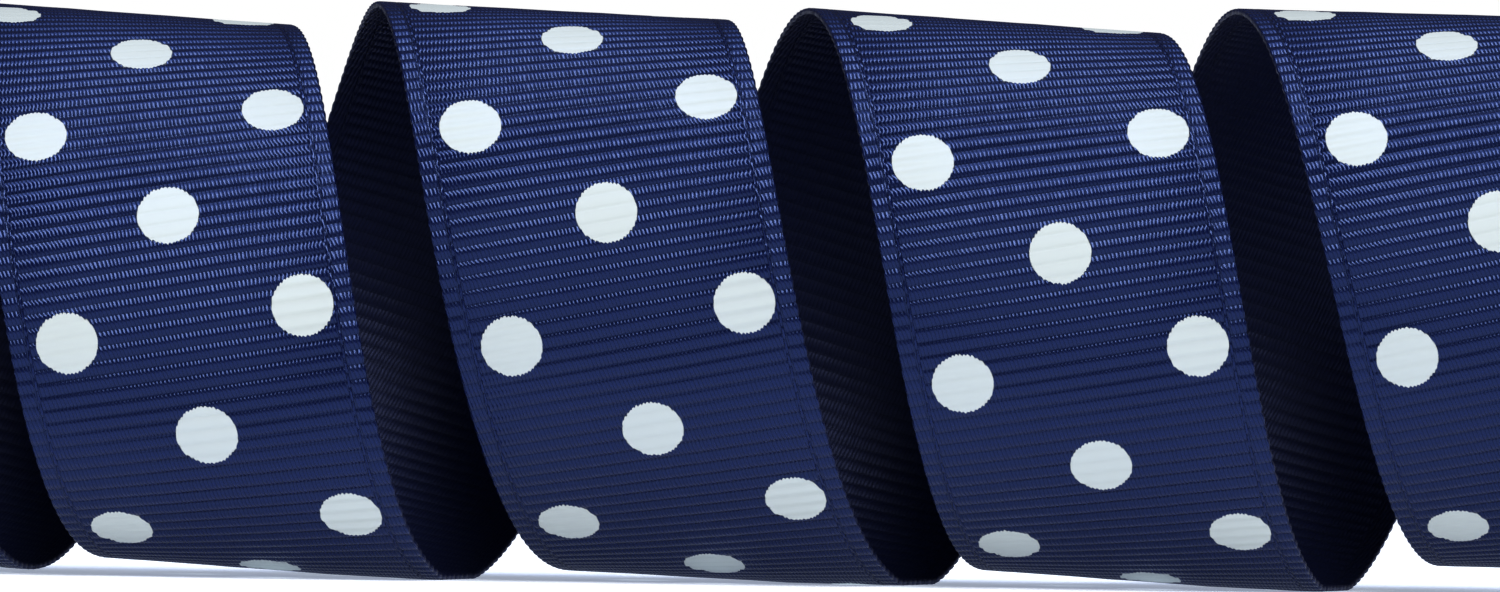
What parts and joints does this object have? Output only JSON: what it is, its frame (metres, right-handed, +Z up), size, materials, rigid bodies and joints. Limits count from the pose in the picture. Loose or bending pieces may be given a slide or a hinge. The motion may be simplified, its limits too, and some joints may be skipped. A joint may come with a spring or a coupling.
{
  "type": "open coil of grosgrain ribbon",
  "caption": "Length of navy ribbed ribbon printed with white polka dots, wound into an open, springy coil that lies on its side.",
  "frame": {"origin": "centre of the coil's box at the surface it rests on", "axes": "+X along the coil, +Z up, the coil's front faces -Y"},
  "size_m": [0.1663, 0.0388, 0.0375],
  "materials": {
    "ribbon": "woven polyester grosgrain with a soft sheen, screen-printed dots"
  },
  "bodies": {
    "root": {"ribbon": "ribbon"}
  },
  "joints": []
}
